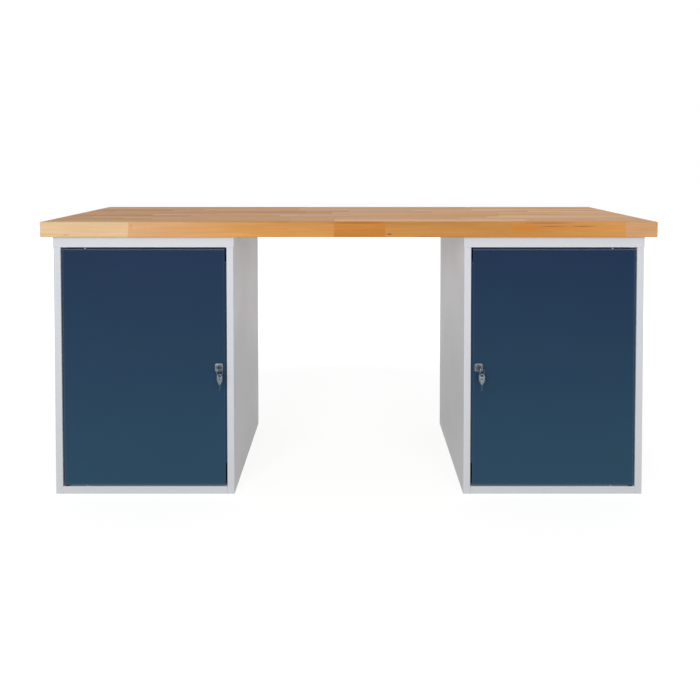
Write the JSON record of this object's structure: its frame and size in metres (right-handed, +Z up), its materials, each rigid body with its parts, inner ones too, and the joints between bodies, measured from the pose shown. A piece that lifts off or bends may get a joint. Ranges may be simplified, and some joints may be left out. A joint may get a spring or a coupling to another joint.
{
  "type": "workbench with cabinet doors",
  "caption": "Workshop bench with a thick beech worktop on steel cabinets with an open knee space; each cabinet has a hinged, lockable door and a shelf inside.",
  "frame": {"origin": "on the floor, under the middle of the worktop", "axes": "+X along the bench to the right, +Y from the doors towards the back, +Z up"},
  "size_m": [2, 0.7199, 0.9],
  "materials": {
    "beech": "oiled, edge-glued staves",
    "cabinet_paint": "light grey powder coat",
    "door_paint": "dark blue powder coat",
    "zinc": "zinc plated",
    "nickel": "nickel plated",
    "nylon": "dark grey nylon"
  },
  "bodies": {
    "bench": {"worktop": "beech", "left_inner_side_panel": "cabinet_paint", "left_outer_side_panel": "cabinet_paint", "left_upper_hinge_bush": "nylon", "left_lower_hinge_bush": "nylon", "left_cap": "cabinet_paint", "left_floor_pan": "cabinet_paint", "left_back_panel": "cabinet_paint", "left_front_inner_shelf_strip": "cabinet_paint", "left_front_inner_shelf_clip": "zinc", "left_front_outer_shelf_strip": "cabinet_paint", "left_front_outer_shelf_clip": "zinc", "left_rear_inner_shelf_strip": "cabinet_paint", "left_rear_inner_shelf_clip": "zinc", "left_rear_outer_shelf_strip": "cabinet_paint", "left_rear_outer_shelf_clip": "zinc", "left_shelf": "cabinet_paint", "right_inner_side_panel": "cabinet_paint", "right_outer_side_panel": "cabinet_paint", "right_upper_hinge_bush": "nylon", "right_lower_hinge_bush": "nylon", "right_cap": "cabinet_paint", "right_floor_pan": "cabinet_paint", "right_back_panel": "cabinet_paint", "right_front_inner_shelf_strip": "cabinet_paint", "right_front_inner_shelf_clip": "zinc", "right_front_outer_shelf_strip": "cabinet_paint", "right_front_outer_shelf_clip": "zinc", "right_rear_inner_shelf_strip": "cabinet_paint", "right_rear_inner_shelf_clip": "zinc", "right_rear_outer_shelf_strip": "cabinet_paint", "right_rear_outer_shelf_clip": "zinc", "right_shelf": "cabinet_paint"},
    "left_door": {"left_door": "door_paint", "left_door_rib": "door_paint", "left_upper_hinge_plate": "zinc", "left_lower_hinge_plate": "zinc", "left_lock_body": "zinc", "left_lock_nut": "zinc", "left_key_ring": "nickel"},
    "left_lock": {"left_lock_plug": "zinc", "left_lock_cam": "zinc", "left_key": "nickel"},
    "left_spare_key": {"left_spare_key": "nickel"},
    "right_door": {"right_door": "door_paint", "right_door_rib": "door_paint", "right_upper_hinge_plate": "zinc", "right_lower_hinge_plate": "zinc", "right_lock_body": "zinc", "right_lock_nut": "zinc", "right_key_ring": "nickel"},
    "right_lock": {"right_lock_plug": "zinc", "right_lock_cam": "zinc", "right_key": "nickel"},
    "right_spare_key": {"right_spare_key": "nickel"}
  },
  "joints": [
    {"name": "left_door_swing", "type": "hinge", "parent": "bench", "child": "left_door", "pos_m": [-0.9275, -0.321, 0.42025], "axis": [0, 0, -1], "range_deg": [0, 110]},
    {"name": "left_lock_turn", "type": "hinge", "parent": "left_door", "child": "left_lock", "pos_m": [-0.425, -0.3194, 0.42025], "axis": [0, -1, 0], "range_deg": [0, 90]},
    {"name": "left_spare_key_swing", "type": "hinge", "parent": "left_door", "child": "left_spare_key", "pos_m": [-0.41865, -0.36052, 0.4033], "axis": [0.8829, 0.4695, 0], "range_deg": [-25, 25]},
    {"name": "right_door_swing", "type": "hinge", "parent": "bench", "child": "right_door", "pos_m": [0.9275, -0.321, 0.42025], "axis": [0, 0, 1], "range_deg": [0, 110]},
    {"name": "right_lock_turn", "type": "hinge", "parent": "right_door", "child": "right_lock", "pos_m": [0.425, -0.3194, 0.42025], "axis": [0, -1, 0], "range_deg": [0, 90]},
    {"name": "right_spare_key_swing", "type": "hinge", "parent": "right_door", "child": "right_spare_key", "pos_m": [0.43135, -0.36052, 0.4033], "axis": [0.8829, 0.4695, 0], "range_deg": [-25, 25]}
  ]
}
